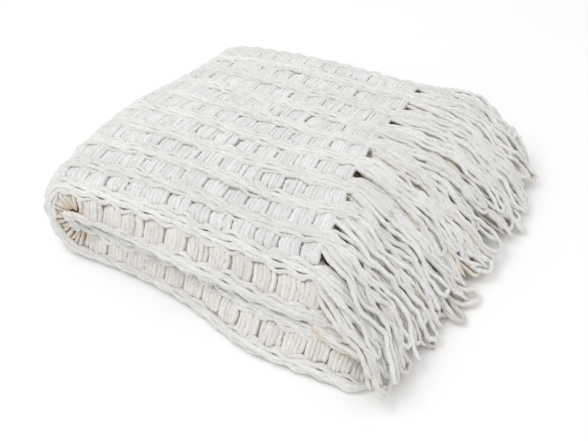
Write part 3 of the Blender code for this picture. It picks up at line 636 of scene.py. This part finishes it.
def cloth_arrays(step_row, block_steps, run_steps, sink):
    """The cloth under its yarns, as in the solids: the outer layer's two faces, then the
    inner layers' two faces, joined by walls. The outer face is sunk below the yarns, more so
    in the left turn and in the holes where the rib rows end. Its colour depth is painted
    shade: 0, the full shade colour, in those holes, in the left turn and at the back corner
    of some blocks, and about a half elsewhere."""
    rows = np.arange(-2.0, ROWS_ON_TOP + 2.0 + 1e-9, step_row)
    blocks = np.linspace(0.0, LAST_BLOCK, LAST_BLOCK * block_steps + 1)
    station = station_of(blocks)
    s, r = np.meshgrid(station, rows, indexing="ij")
    b = np.repeat(blocks[:, None], len(rows), axis=1)
    normal = outer_normal(s, r)
    face = outer_point(s, r)
    shallow = weave_height(b, r)
    on_floor = smooth((s - 1.9) / 0.15) * smooth((r + 0.5) / 0.4) * smooth((ROWS_ON_TOP + 0.5 - r) / 0.4)
    of_row = np.floor(r + 0.5)
    hole = smooth((0.55 - b) / 0.25) * smooth((0.24 - np.abs(r - of_row)) / 0.12)
    hole = hole * (0.75 + 0.25 * hole_share(of_row))
    near_crease = smooth((r + 1.9) / 0.4) * smooth((ROWS_ON_TOP + 1.9 - r) / 0.4)
    lift = (-sink + 0.0012 * shallow) * near_crease * (1.0 - on_floor) - TURN_SINK * in_turn(s, r)
    lift = lift - HOLE_SINK * hole
    outer = face + normal * lift[..., None]
    outer[..., 2] = np.maximum(outer[..., 2], 0.0)
    backing = face - normal * OUTER_THICKNESS

    first, last = (int(np.argmin(abs(rows - edge))) for edge in INNER_ROWS)
    y = np.linspace(INNER_FRONT_Y, INNER_BACK_Y, last - first + 1)
    turn = np.linspace(0.0, 1.0, 15)
    fold = np.linspace(0.0, 1.0, 11)
    run = np.linspace(0.0, 1.0, run_steps + 1)
    pairs = [
        fold_pair(y, fold[1:-1]),
        run_pair(y, "sixth", run[::-1][:-1], True),
        turn_pair(y, "sixth", "first", turn),
        run_pair(y, "first", run[1:-1], False),
        bend_pair(y, "first", "second", fold),
        run_pair(y, "second", run[::-1][1:-1], True),
        turn_pair(y, "second", "fifth", turn),
        run_pair(y, "fifth", run[1:-1], False),
        bend_pair(y, "fifth", "fourth", fold),
        run_pair(y, "fourth", run[::-1][1:-1], True),
        turn_pair(y, "fourth", "third", turn),
        run_pair(y, "third", run[1:], False),
    ]
    deep_outer = np.concatenate([p[0] for p in pairs])
    deep_inner = np.concatenate([p[1] for p in pairs])
    run_length = np.cumsum(np.linalg.norm(np.diff(deep_outer[:, len(y) // 2], axis=0), axis=1))
    deep_block = np.concatenate([[0.0], run_length])[:, None] / INNER_BLOCK
    deep_row = np.linspace(rows[first], rows[last], len(y))[None, :]
    dent = INNER_DENT * weave_height(deep_block, deep_row)[..., None]
    towards = unit(deep_inner - deep_outer)
    deep_outer = deep_outer - towards * dent
    deep_inner = deep_inner + towards * dent

    sizes = [outer.shape[:2], backing.shape[:2], deep_outer.shape[:2], deep_inner.shape[:2]]
    starts = np.concatenate([[0], np.cumsum([a * c for a, c in sizes])])
    o, n, do, dn = (starts[k] + np.arange(a * c).reshape(a, c) for k, (a, c) in enumerate(sizes))
    faces = [
        grid_faces(o),
        grid_faces(n, True),
        grid_faces(do),
        grid_faces(dn, True),
        strip_faces(o[-1, first:last + 1], do[0], True),
        strip_faces(n[-1, first:last + 1], dn[0]),
        strip_faces(o[-1, :first + 1], n[-1, :first + 1], True),
        strip_faces(o[-1, last:], n[-1, last:], True),
        strip_faces(o[0], n[0]),
        strip_faces(o[:, 0], n[:, 0], True),
        strip_faces(o[:, -1], n[:, -1]),
    ]
    for edge, side, flip in ((first, 0, True), (last, -1, False)):
        faces.append(strip_faces(np.concatenate([[o[-1, edge]], do[:, side]]),
                                 np.concatenate([[n[-1, edge]], dn[:, side]]), flip))
    faces.append(strip_faces(do[-1], dn[-1], True))
    points = np.concatenate([p.reshape(-1, 3) for p in (outer, backing, deep_outer, deep_inner)])
    # Painted shade on the ground between the yarns: about a half, full in the holes, the left turn's recess
    # and the back corners of some blocks' notches; the part lying on the floor is darker in the weave's dents.
    notch = smooth((np.abs(b - np.floor(b) - 0.5) * 2.0 - 0.4) / 0.5)
    corner = notch * smooth((0.17 - np.abs(r - of_row - 0.30)) / 0.10)
    shaded_corner_pick = (0.5 + 0.5 * np.sin(12.9 * np.round(b) + 78.2 * of_row)) ** 2
    ground = 0.53 * (1.0 - hole) * (1.0 - in_turn(s, r)) * (1.0 - shaded_corner_pick * corner)
    outer_face_shade = (on_floor * (0.9 + 0.5 * shallow) + (1.0 - on_floor) * ground).ravel()
    # Painted shade: the backing is darkened evenly.
    back_depth = np.full(backing[..., 0].size, 0.3)
    # Painted shade: the inner layers are darker in their weave's dents, and more at their high right ends,
    # which show between the fringe's bunches.
    shaded_right_end = smooth((deep_outer[..., 0] - 0.080) / 0.02) * smooth((deep_outer[..., 2] - 0.055) / 0.01)
    deep = (0.95 + 0.5 * (dent[..., 0] / INNER_DENT)) * (1.0 - 0.55 * shaded_right_end)
    depth = np.concatenate([outer_face_shade, back_depth, deep.ravel(), deep.ravel()])
    return points, np.concatenate(faces).tolist(), depth


def rib_yarns(radius, seed):
    """The ribs of every block that shows. A rib runs across its row, highest in the middle
    and dipping under the chain rows at both ends, by the cube of its place u from -1 to 1, and
    the block's ribs close up there. A block has fewer in the left turn, and none underneath."""
    chance = np.random.default_rng(seed)
    row, block, rib = np.meshgrid(np.arange(-1, 10), np.arange(0, LAST_BLOCK), np.arange(5), indexing="ij")
    blocks = (11, LAST_BLOCK, 1)
    wide = chance.uniform(0.97, 1.07, blocks)
    aside = chance.normal(0.0, 0.018, blocks)
    proud = chance.normal(0.0, 0.00055, blocks)
    each = [np.broadcast_to(a, rib.shape).ravel().astype(float) for a in (row, block, rib, wide, aside, proud)]
    row, block, rib = each[:3]
    middle = station_of(block + 0.5)
    hidden = (middle > 2.04) & (row > -0.5) & (row < ROWS_ON_TOP + 0.5)
    hidden = hidden | ((in_turn(middle, row) > 0.5) & (rib % 2.0 > 0.5))
    row, block, rib, wide, aside, proud = (a[~hidden] for a in each)
    u = np.linspace(-1.0, 1.0, 11)
    pinch = 1.0 - 0.11 * np.abs(u) ** 2
    jitter = chance.normal(0.0, 0.014, (len(row), 1))
    lean = chance.normal(0.0, 0.018, (len(row), 1)) * u
    spread = RIB_STEP * (rib - 2.0)[:, None] * pinch * wide[:, None] + aside[:, None]
    back_from_hole = (block < 0.5) * (0.75 - 0.12 * rib)
    spread = spread + ((HOLE_LENGTH + 0.07 * hole_share(row)) * back_from_hole)[:, None]
    at_block = block[:, None] + 0.5 + spread + jitter + lean
    far_end = 1.0 - 0.115 * np.maximum(rib - 2.0, 0.0)[:, None] * (u > 0.0)
    at_row = row[:, None] + (RIB_REACH + chance.normal(0.0, 0.014, (len(row), 1))) * u * far_end
    at_row = at_row + stray(at_block, row[:, None])
    station = station_of(at_block)
    lift = -0.0007 - 0.0018 * np.abs(u) ** 3 - 0.0003 * np.abs(rib - 2.0)[:, None]
    lift = lift + chance.normal(0.0, 0.00040, (len(row), 1)) + proud[:, None]
    recess = in_turn(station, at_row)
    lift = lift - TURN_SINK * recess
    normal = outer_normal(station, at_row)
    place = outer_point(station, at_row)
    before, after = (outer_point(station_of(at_block + aim), at_row) for aim in (-0.09, 0.09))
    room = np.linalg.norm(after - before, axis=-1)
    size = np.minimum(radius * (1.0 + 0.10 * recess), 0.69 * room * (1.0 + 0.2 * recess))
    size = size * chance.uniform(0.92, 1.08, (len(row), 1))
    path = above_floor(place + normal * lift[..., None], size)
    points, faces = tubes(path, normal, size * rounded(len(u)), 8, chance, 0.14)
    # Painted shade: darker at the ribs' ends under the chain rows, on the front and back borders, in the left
    # turn's recess and on each yarn's inward flank.
    border = smooth((-row - 0.4) / 0.4) + smooth((row - ROWS_ON_TOP - 0.4) / 0.4)
    depth = 1.0 - 0.15 * np.abs(u) ** 4 - 0.18 * border[:, None] - 0.66 * recess
    depth = np.clip(depth[..., None] - 0.24 * flank_shade(8), 0.0, 1.0)
    tone = np.broadcast_to(chance.uniform(0.2, 0.8, (len(row), 1, 1)), depth.shape)
    return points, faces, depth, tone


def chain_yarns(radius, rows, last_block, seed):
    """Smooth rows: six yarns side by side, which cross over and under each other by a sine of
    the block, half a turn apart, and spread and rise once a block, between the rib blocks."""
    chance = np.random.default_rng(seed)
    row, k = np.meshgrid(np.array(rows), np.arange(6), indexing="ij")
    row, k = row.ravel(), k.ravel().astype(float)
    count = len(row)
    first = chance.uniform(-0.75, -0.25, (count, 1))
    block = first + (last_block - first) * np.linspace(0.0, 1.0, int(last_block * 6) + 1)[None, :]
    place_k = (k - 2.5)[:, None]     # from -2.5 at the front yarn to 2.5 at the back one
    turn = 2.0 * math.pi * block
    swing = turn / CROSSING + math.pi * k[:, None] + chance.uniform(-0.8, 0.8, (count, 1))
    slow = turn / DRIFTING + 1.7 * row[:, None]
    edge = np.abs(place_k) / 2.5
    across = CHAIN_STEP * place_k * (1.0 + 0.24 * np.cos(turn)) + 0.026 * np.sin(swing) + 0.018 * np.sin(slow)
    across = across + stray(block, row[:, None])
    across = across + 0.012 * np.sin(turn / CRIMPING + chance.uniform(0.0, 6.28, (count, 1)))
    lift = 0.0004 - 0.0013 * edge ** 2 + 0.0006 * np.cos(swing) + 0.0009 * np.cos(turn)
    at_row = row[:, None] + across
    station = np.broadcast_to(station_of(block), at_row.shape)
    near_crease = smooth((at_row + 1.85) / 0.25) * smooth((ROWS_ON_TOP + 1.85 - at_row) / 0.25)
    lift = lift * near_crease - 0.0012 * (1.0 - near_crease)
    lift = lift - 0.0040 * np.maximum(-block, 0.0) ** 1.5
    normal = outer_normal(station, at_row)
    size = radius * chance.uniform(0.92, 1.08, (count, 1)) * np.ones(block.shape)
    path = above_floor(outer_point(station, at_row) + normal * lift[..., None], size)
    points, faces = tubes(path, normal, size * rounded(block.shape[1]), 7, chance, 0.17)
    # Painted shade: darker at the row's outer yarns, where a yarn dips under the others, and on each yarn's
    # inward flank.
    depth = 1.0 - 0.10 * edge ** 2 - 0.05 * (1.0 - np.cos(swing))
    depth = np.clip(depth[:, :, None] - 0.22 * flank_shade(7), 0.0, 1.0)
    tone = np.broadcast_to(chance.uniform(0.3, 0.8, (count, 1, 1)), depth.shape)
    return points, faces, depth, tone


def bunch_length(row):
    """The length of a bunch's strands, from the table."""
    return float(np.interp(row, column(BUNCHES, 0), column(BUNCHES, 2)))


def fringe_root(row):
    """Where a strand leaves the fringed edge, a little below the cloth's face."""
    return outer_point(0.0, row) - outer_normal(0.0, row) * ROOT_SINK


def wave(along, length, phase):
    """A sine of the place along a strand, with the wave's own length and phase."""
    return np.sin(2.0 * math.pi * along / length + phase)


def drape_of(row, lower):
    """The drape's height at DRAPE_X for a bunch, blended from the front lip's end to the back's."""
    if lower:
        return np.array(DRAPE_LOWER)
    corner = np.array(DRAPE_LIP) + (np.array(DRAPE_CORNER) - np.array(DRAPE_LIP)) * smooth(row + 1.5)
    front = corner + (np.array(DRAPE_FRONT) - corner) * smooth(row + 0.5)
    back = np.array(DRAPE_BACK) + (np.array(DRAPE_LIP) - np.array(DRAPE_BACK)) * smooth(row - 8.5)
    return front + (back - front) * smooth((row - 0.5) / 6.5)


def bunch_place(row, lower, along, across, layer, wander):
    """Points of a bunch's strands. Along is the length from the root, across the place side
    to side, layer the depth below the top strands. The path follows the drape's curve by its
    own length, and opens out sideways by about the root of the length."""
    if lower:
        low, high, end = INNER_LAYERS["third"]
        root_y = FIRST_ROW_Y + row * ROW_PITCH
        root = inner_place(np.array(end), np.array(root_y), 0.5 * (low + high))
        full = LOWER_LENGTH
        drift = 0.0
        own_y = across
        own_z = 0.0 * across
    else:
        root = fringe_root(row)
        own = fringe_root(row + across / ROW_PITCH)
        own_y = own[..., 1] - root[1]
        own_z = own[..., 2] - root[2]
        full = bunch_length(row)
        drift = np.interp(row, column(BUNCHES, 0), column(BUNCHES, 1))
    x = np.linspace(root[0] - HIDDEN_ROOT, 0.320, 260)
    away = np.maximum(x - root[0], 0.0)
    z = np.interp(x, DRAPE_X, drape_of(row, lower))
    z = z + (root[2] - z[0]) * (1.0 - smooth(away / 0.060))
    z = np.maximum(z, FLAT_HEIGHT)
    length = np.concatenate([[0.0], np.cumsum(np.hypot(np.diff(x), np.diff(z)))])
    length = length - np.interp(root[0], x, length)
    slope_x = np.gradient(x, length)
    slope_z = np.gradient(z, length)
    share = np.clip(along / full, 0.0, 1.1)
    px = np.interp(along, length, x)
    pz = np.interp(along, length, z)
    down_x = np.interp(along, length, slope_z)
    down_z = -np.interp(along, length, slope_x)
    depth = layer * (0.0034 + 0.0020 * smooth(along / 0.05)) + wander[2]
    px = px + down_x * depth
    pz = pz + down_z * depth + own_z * (1.0 - smooth(along / 0.07))
    opened = 0.6 * share ** 0.5 if lower else 1.55 * share ** 0.55 - 0.18
    py = root[1] + own_y + across * opened + drift * share ** 0.75 + wander[1]
    return np.stack([px + wander[0], py, pz], axis=-1)


def fringe_strands(rows, lower, strands, layers, radius, looped, seed):
    """Every strand of a fringe. A looped pair is one yarn that goes out, turns at its tip in
    a small bow and comes back: its place along is the length less the root of its square
    distance from the tip and the bow's radius. A cut strand stops at its tip. Strands share
    their waves in twos and threes, and each wave grows from nothing at the root."""
    chance = np.random.default_rng(seed)
    all_points, all_faces, all_depth, all_tone = [], [], [], []
    start = 0
    for row in rows:
        for loops in (True, False):
            count = int(round(strands * (0.5 * looped if loops else 1.0 - looped)))
            steps = 76 if loops else 40
            full = LOWER_LENGTH if lower else bunch_length(row)
            free = 1.0 if 0.0 < row < 8.0 else 0.4
            own = full * chance.uniform(0.70 if loops else 0.84, 1.00 + 0.08 * free, (count, 1))
            bow = chance.uniform(0.0045, 0.0100, (count, 1))
            tau = np.linspace(-1.0, 1.0 if loops else 0.0, steps)[None, :]
            if loops:
                tau = np.sign(tau) * np.abs(tau) ** 1.35
                run = np.sqrt((own * tau) ** 2 + (0.9 * bow) ** 2) - 0.9 * bow
                along = own - run * (own + HIDDEN_ROOT) / own
                side = bow * np.tanh(own * tau / (0.9 * bow))
                side = side * (0.60 + 0.40 * smooth((along / own - 0.7) / 0.2))
            else:
                along = own + (own + HIDDEN_ROOT) * tau
                side = 0.0 * along
            reach = LOWER_REACH if lower else TOP_REACH
            home = np.linspace(-reach, reach, count)[:, None] + chance.normal(0.0, 0.0010, (count, 1))
            lock = np.arange(count) // (2 if loops else 3)
            layer = chance.permutation(np.linspace(0.0, layers - 1.0, count))[:, None]
            p1, p2, p3 = (chance.uniform(0.0, 6.28, (count, 1))[lock]
                          + chance.uniform(-0.5, 0.5, (count, 1)) for _ in range(3))
            loose = smooth(along / 0.06)
            turns = chance.uniform(0.7, 1.4, (count, 1))[lock]
            amount = chance.uniform(0.5, 1.6, (count, 1))[lock]
            other = np.where(tau > 0.0, 0.9, 0.0)
            wander_y = SWAY[0] * amount * loose * wave(turns * along, SWAY[1], p1 + other)
            wander_y = wander_y + CRIMP[0] * loose * wave(along, CRIMP[1], p2)
            wander_x = RIPPLE[0] * loose * wave(along, RIPPLE[1], p3)
            wander_z = -DIP[0] * loose * (0.5 + 0.5 * wave(along, DIP[1], p2 + other))
            out = smooth(along / own) * smooth(1.6 - along / own)
            wander_z = wander_z - chance.uniform(0.0, 0.0060, (count, 1)) * out * free
            curl, slant = (0.9 * chance.normal(0.0, 1.0, (count, 1))[lock]
                           + 0.4 * chance.normal(0.0, 1.0, (count, 1)) for _ in range(2))
            curl, slant = np.clip(curl, -1.7, 1.7), np.clip(slant, -1.7, 1.7)
            curl = curl * smooth((along / own - 0.68) / 0.32)
            wander_y = wander_y + free * (0.0095 * curl + 0.055 * slant * along * loose)
            path = bunch_place(row, lower, along, home + 0.0 * along, layer + 0.0 * along,
                               (wander_x, wander_y + side, wander_z))
            size = radius * chance.uniform(0.90, 1.10, (count, 1)) * np.ones(along.shape)
            ups = np.broadcast_to(np.array((0.35, -0.1, 1.0)), path.shape)
            ends = np.ones(steps) if loops else rounded(steps)
            points, faces = tubes(above_floor(path, size), ups, size * ends, 7, chance, 0.17)
            # Painted shade: strands lying deeper in a bunch are darker, the whole lower fringe more so, and
            # each yarn on its inward flank.
            below = np.clip(1.0 - 0.18 * layer ** 1.5, 0.15, 1.0) * (0.6 if lower else 1.0)
            depth = np.clip(below[:, :, None] - 0.36 * flank_shade(7) + np.zeros((1, steps, 1)), 0.0, 1.0)
            tone = np.broadcast_to(chance.uniform(0.25, 0.85, (count, 1, 1)), depth.shape)
            all_points.append(points)
            all_faces += [[v + start for v in face] for face in faces]
            all_depth.append(depth.ravel())
            all_tone.append(tone.ravel())
            start += len(points)
    return np.concatenate(all_points), all_faces, np.concatenate(all_depth), np.concatenate(all_tone)


class ThrowSizes(bpy.types.PropertyGroup):
    rib_radius: bpy.props.FloatProperty(
        name="Rib radius", description="Radius of a rib's yarn", default=0.0035, unit="LENGTH")
    chain_radius: bpy.props.FloatProperty(
        name="Chain radius", description="Radius of a chain row's yarn", default=0.0028, unit="LENGTH")
    strand_radius: bpy.props.FloatProperty(
        name="Strand radius", description="Radius of a fringe strand", default=0.0028, unit="LENGTH")
    cloth_width: bpy.props.FloatProperty(
        name="Cloth width", description="Width of the open throw", default=1.27, unit="LENGTH")
    cloth_length: bpy.props.FloatProperty(
        name="Cloth length", description="Length of the open throw without its fringe", default=1.52,
        unit="LENGTH")


class ThrowLooks(bpy.types.PropertyGroup):
    yarn: bpy.props.FloatVectorProperty(
        name="Yarn", description="Colour of the yarn",
        default=(0.935, 0.944, 0.936), size=3, subtype="COLOR")
    # Painted shade: the dark brown mixed into the cloth where shade falls, fullest in the holes at the rib
    # rows' ends.
    recess: bpy.props.FloatVectorProperty(
        name="Recess shade", description="Colour of the deepest ground, in the holes at the ends of the rib rows",
        default=(0.065, 0.038, 0.018), size=3, subtype="COLOR")
    shade: bpy.props.FloatVectorProperty(
        name="Shade", description="Colour of the yarns where they lie deep",
        default=(0.84, 0.69, 0.50), size=3, subtype="COLOR")
    bump: bpy.props.FloatProperty(
        name="Pile", description="How strongly the pile is raised", default=0.8, subtype="FACTOR")
    floor: bpy.props.FloatVectorProperty(
        name="Floor", description="Colour of the floor",
        default=(0.96, 0.96, 0.96), size=3, subtype="COLOR")
    key_light: bpy.props.FloatProperty(
        name="Key light", description="Power of the large light above the left", default=7.5, unit="POWER")
    sky: bpy.props.FloatProperty(
        name="Sky", description="Strength of the even light around", default=0.89)


class THROW_OT_cloth(bpy.types.Operator):
    """Makes the folded cloth under the yarns"""
    bl_idname = "throw.cloth"
    bl_label = "Folded cloth"

    def execute(self, context):
        points, faces, depth = cloth_arrays(step_row=0.125, block_steps=4, run_steps=40, sink=0.0008)
        tone = np.full(len(points), 0.5)
        cloth = make_piece("woven_cloth", points, faces, depth, tone, "folded_throw",
                           finish_of("chenille_cloth"))
        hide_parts("folded_throw")
        return {"FINISHED"}


class THROW_OT_ribs(bpy.types.Operator):
    """Makes the ribs of every block"""
    bl_idname = "throw.ribs"
    bl_label = "Rib blocks"

    def execute(self, context):
        sizes = context.scene.throw_sizes
        points, faces, depth, tone = rib_yarns(sizes.rib_radius, 11)
        make_piece("rib_yarns", points, faces, depth, tone, "folded_throw", finish_of("chenille_ribs"))
        return {"FINISHED"}


class THROW_OT_chains(bpy.types.Operator):
    """Makes the smooth chain rows on the top and on the front and back borders"""
    bl_idname = "throw.chains"
    bl_label = "Chain rows"

    def execute(self, context):
        sizes = context.scene.throw_sizes
        top = [k + 0.5 for k in range(ROWS_ON_TOP)]
        for label, rows, last_block, seed in (("top", top, 17.0, 21),
                                              ("borders", (-1.5, -0.5, 8.5, 9.5), 32.0, 22)):
            made = chain_yarns(sizes.chain_radius, rows, last_block, seed)
            make_piece("chain_yarns_" + label, *made, "folded_throw", finish_of("chenille_chains"))
        return {"FINISHED"}


class THROW_OT_upper_fringe(bpy.types.Operator):
    """Makes the long fringe of the outer layer"""
    bl_idname = "throw.upper_fringe"
    bl_label = "Upper fringe"

    def execute(self, context):
        sizes = context.scene.throw_sizes
        rows = [k - 1.5 for k in range(12)]
        for label, part, seed in (("front", rows[:6], 36), ("back", rows[6:], 35)):
            made = fringe_strands(part, lower=False, strands=32, layers=3.0, radius=sizes.strand_radius,
                                  looped=0.55, seed=seed)
            piece = make_piece("upper_fringe_" + label, *made, "upper_fringe", finish_of("chenille_fringe"))
            if label == "front":
                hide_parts("upper_fringe")
        return {"FINISHED"}


class THROW_OT_lower_fringe(bpy.types.Operator):
    """Makes the fringe of the inner end of the cloth"""
    bl_idname = "throw.lower_fringe"
    bl_label = "Lower fringe"

    def execute(self, context):
        sizes = context.scene.throw_sizes
        rows = [k + 1.25 for k in range(7)]
        made = fringe_strands(rows, lower=True, strands=14, layers=1.6, radius=sizes.strand_radius,
                              looped=0.5, seed=41)
        piece = make_piece("lower_fringe_yarns", *made, "lower_fringe", finish_of("chenille_fringe"))
        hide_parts("lower_fringe")
        return {"FINISHED"}


class THROW_OT_stage(bpy.types.Operator):
    """Makes the floor, the soft lights and the camera"""
    bl_idname = "throw.stage"
    bl_label = "Stage"

    def execute(self, context):
        looks = context.scene.throw_looks
        mesh = bpy.data.meshes.new("floor")
        reach = 6.0
        mesh.from_pydata([(-reach, -reach, 0.0), (reach, -reach, 0.0), (reach, reach, 0.0),
                          (-reach, reach, 0.0)], [], [(0, 1, 2, 3)])
        floor = bpy.data.objects.new("floor", mesh)
        context.scene.collection.objects.link(floor)
        material = bpy.data.materials.new("pale_floor")
        material.use_nodes = True
        shader = material.node_tree.nodes["Principled BSDF"]
        shader.inputs["Base Color"].default_value = (*looks.floor, 1.0)
        shader.inputs["Roughness"].default_value = 0.9
        mesh.materials.append(material)

        world = bpy.data.worlds.new("studio")
        world.use_nodes = True
        sky = world.node_tree.nodes["Background"]
        sky.inputs["Color"].default_value = (1.0, 1.0, 1.0, 1.0)
        sky.inputs["Strength"].default_value = looks.sky
        context.scene.world = world
        for label, place, aim, size, power in (
            ("key", (-0.75, -0.35, 1.55), (0.0, 0.0, 0.05), 0.9, looks.key_light),
            ("fill", (1.2, -1.3, 0.9), (0.05, 0.0, 0.05), 1.4, 0.25 * looks.key_light),
        ):
            lamp = bpy.data.lights.new(label, "AREA")
            lamp.shape = "SQUARE"
            lamp.size = size
            lamp.energy = power
            light = bpy.data.objects.new(label, lamp)
            context.scene.collection.objects.link(light)
            light.location = place
            away = np.array(place) - np.array(aim)
            flat = math.hypot(away[0], away[1])
            light.rotation_euler = (math.atan2(flat, away[2]), 0.0, math.atan2(away[0], -away[1]))

        camera = bpy.data.objects.new("camera", bpy.data.cameras.new("camera"))
        camera.data.sensor_width = 36.0
        camera.data.lens = CAMERA_LENS
        camera.location = tuple(np.array(CAMERA_PLACE) + SHIFT)
        camera.rotation_euler = tuple(math.radians(a) for a in CAMERA_TURN)
        context.scene.collection.objects.link(camera)
        context.scene.camera = camera
        context.scene.view_settings.view_transform = "Standard"
        return {"FINISHED"}


class THROW_PT_panel(bpy.types.Panel):
    """Lists the throw's pieces, sizes and looks"""
    bl_idname = "THROW_PT_panel"
    bl_label = "Folded throw"
    bl_space_type = "VIEW_3D"
    bl_region_type = "UI"
    bl_category = "Throw"

    def draw(self, context):
        for group in (context.scene.throw_sizes, context.scene.throw_looks):
            for name in group.__annotations__:
                self.layout.prop(group, name)
        for made in OPERATORS:
            self.layout.operator(made.bl_idname)


OPERATORS = (THROW_OT_cloth, THROW_OT_ribs, THROW_OT_chains, THROW_OT_upper_fringe, THROW_OT_lower_fringe,
             THROW_OT_stage)
CLASSES = (ThrowSizes, ThrowLooks, *OPERATORS, THROW_PT_panel)


def register():
    for made in CLASSES:
        bpy.utils.register_class(made)
    bpy.types.Scene.throw_sizes = bpy.props.PointerProperty(type=ThrowSizes)
    bpy.types.Scene.throw_looks = bpy.props.PointerProperty(type=ThrowLooks)


def unregister():
    del bpy.types.Scene.throw_looks
    del bpy.types.Scene.throw_sizes
    for made in reversed(CLASSES):
        bpy.utils.unregister_class(made)


def main():
    register()
    bpy.ops.throw.cloth()
    bpy.ops.throw.ribs()
    bpy.ops.throw.chains()
    bpy.ops.throw.upper_fringe()
    bpy.ops.throw.lower_fringe()
    bpy.ops.throw.stage()


if __name__ == "__main__":
    main()
